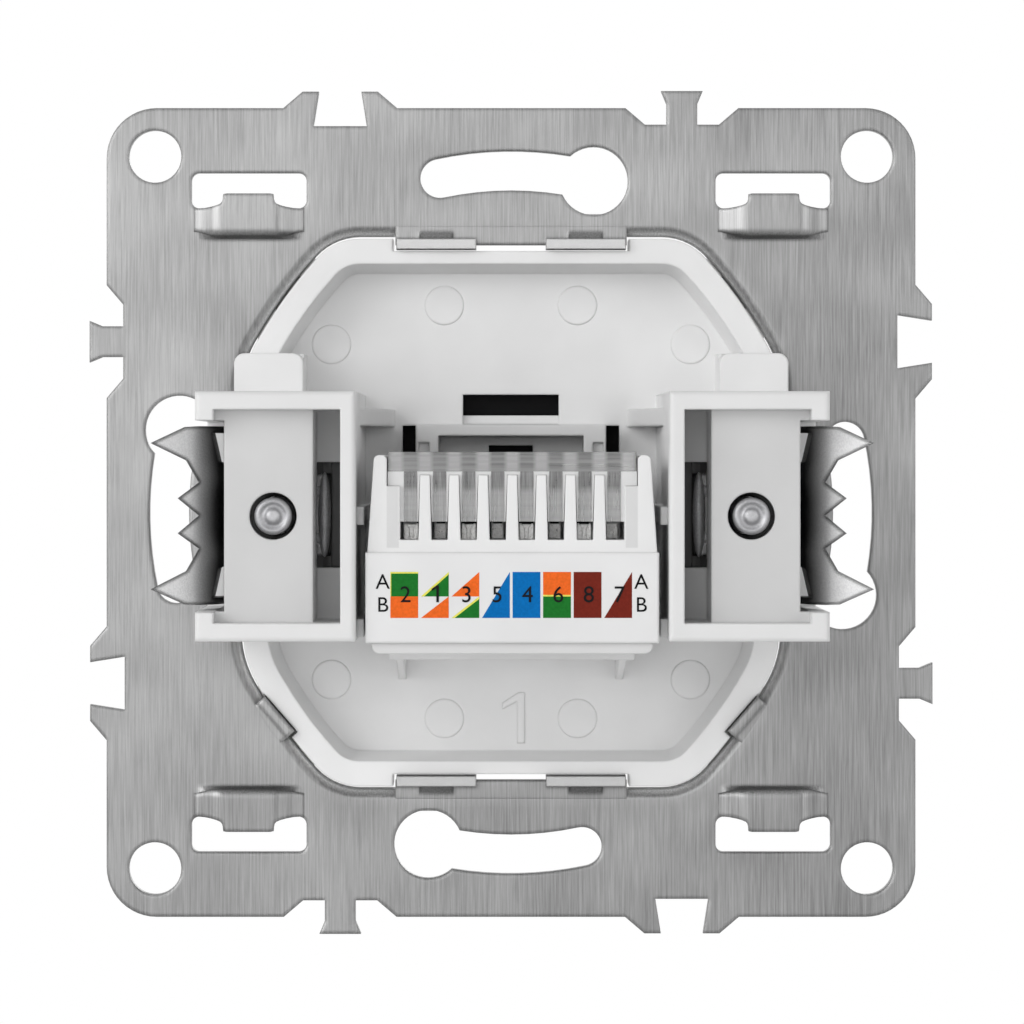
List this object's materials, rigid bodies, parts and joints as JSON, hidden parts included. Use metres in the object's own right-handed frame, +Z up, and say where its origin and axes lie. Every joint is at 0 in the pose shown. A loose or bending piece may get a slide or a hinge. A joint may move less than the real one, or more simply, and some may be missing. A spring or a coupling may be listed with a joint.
{
  "type": "ethernet socket with frame",
  "caption": "Flush network socket with a push-down wire block, a stamped steel support frame, screw-driven box claws and a square front cover.",
  "frame": {"origin": "middle of the support frame, on the face that lies on the wall", "axes": "+X right and +Z up when the socket is seen from behind, +Y into the room, away from the wall"},
  "size_m": [0.074, 0.037, 0.074],
  "materials": {
    "frame_steel": "satin",
    "claw_steel": "satin",
    "screw_steel": "polished",
    "housing_plastic": "satin",
    "block_plastic": "satin",
    "label_paper": "matte",
    "clear_plastic": "clear",
    "contact_metal": "polished",
    "spring_metal": "polished",
    "board_laminate": "satin",
    "jack_plastic": "satin",
    "cover_plastic": "gloss"
  },
  "bodies": {
    "socket": {"support_frame": "frame_steel", "housing": "housing_plastic", "wire_block": "block_plastic", "wiring_label": "label_paper", "circuit_board": "board_laminate", "jack_body": "jack_plastic", "front_cover": "cover_plastic", "wire_contact_1": "contact_metal", "wire_contact_2": "contact_metal", "wire_contact_3": "contact_metal", "wire_contact_4": "contact_metal", "wire_contact_5": "contact_metal", "wire_contact_6": "contact_metal", "wire_contact_7": "contact_metal", "wire_contact_8": "contact_metal", "jack_spring_1": "spring_metal", "jack_spring_2": "spring_metal", "jack_spring_3": "spring_metal", "jack_spring_4": "spring_metal", "jack_spring_5": "spring_metal", "jack_spring_6": "spring_metal", "jack_spring_7": "spring_metal", "jack_spring_8": "spring_metal"},
    "screw_left": {"claw_screw_left": "screw_steel"},
    "screw_right": {"claw_screw_right": "screw_steel"},
    "nut_left": {"claw_nut_left": "claw_steel"},
    "nut_right": {"claw_nut_right": "claw_steel"},
    "claw_left": {"claw_left": "claw_steel"},
    "claw_right": {"claw_right": "claw_steel"},
    "cap": {"wire_cap": "clear_plastic"}
  },
  "joints": [
    {"name": "screw_left_turn", "type": "hinge", "parent": "socket", "child": "screw_left", "pos_m": [-0.01975, -0.006, 0], "axis": [0, -1, 0], "range_deg": [0, 975]},
    {"name": "screw_right_turn", "type": "hinge", "parent": "socket", "child": "screw_right", "pos_m": [0.01975, -0.006, 0], "axis": [0, -1, 0], "range_deg": [0, 975]},
    {"name": "nut_left_slide", "type": "slide", "parent": "socket", "child": "nut_left", "axis": [0, 1, 0], "range_m": [0, 0.00137]},
    {"name": "nut_right_slide", "type": "slide", "parent": "socket", "child": "nut_right", "axis": [0, 1, 0], "range_m": [0, 0.00137]},
    {"name": "claw_left_swing", "type": "hinge", "parent": "socket", "child": "claw_left", "pos_m": [-0.0161, -0.014, 0], "axis": [0, 0, -1], "range_deg": [0, 21.1]},
    {"name": "claw_right_swing", "type": "hinge", "parent": "socket", "child": "claw_right", "pos_m": [0.0161, -0.014, 0], "axis": [0, 0, 1], "range_deg": [0, 21.1]},
    {"name": "cap_lift", "type": "slide", "parent": "socket", "child": "cap", "axis": [0, 0, 1], "range_m": [0, 0.008]}
  ],
  "couplings": [
    {"joint": "nut_left_slide", "follows": "screw_left_turn", "m_per_rad": 0.000079577},
    {"joint": "nut_right_slide", "follows": "screw_right_turn", "m_per_rad": 0.000079577},
    {"joint": "claw_left_swing", "follows": "screw_left_turn", "ratio": 0.021478},
    {"joint": "claw_right_swing", "follows": "screw_right_turn", "ratio": 0.021478}
  ]
}
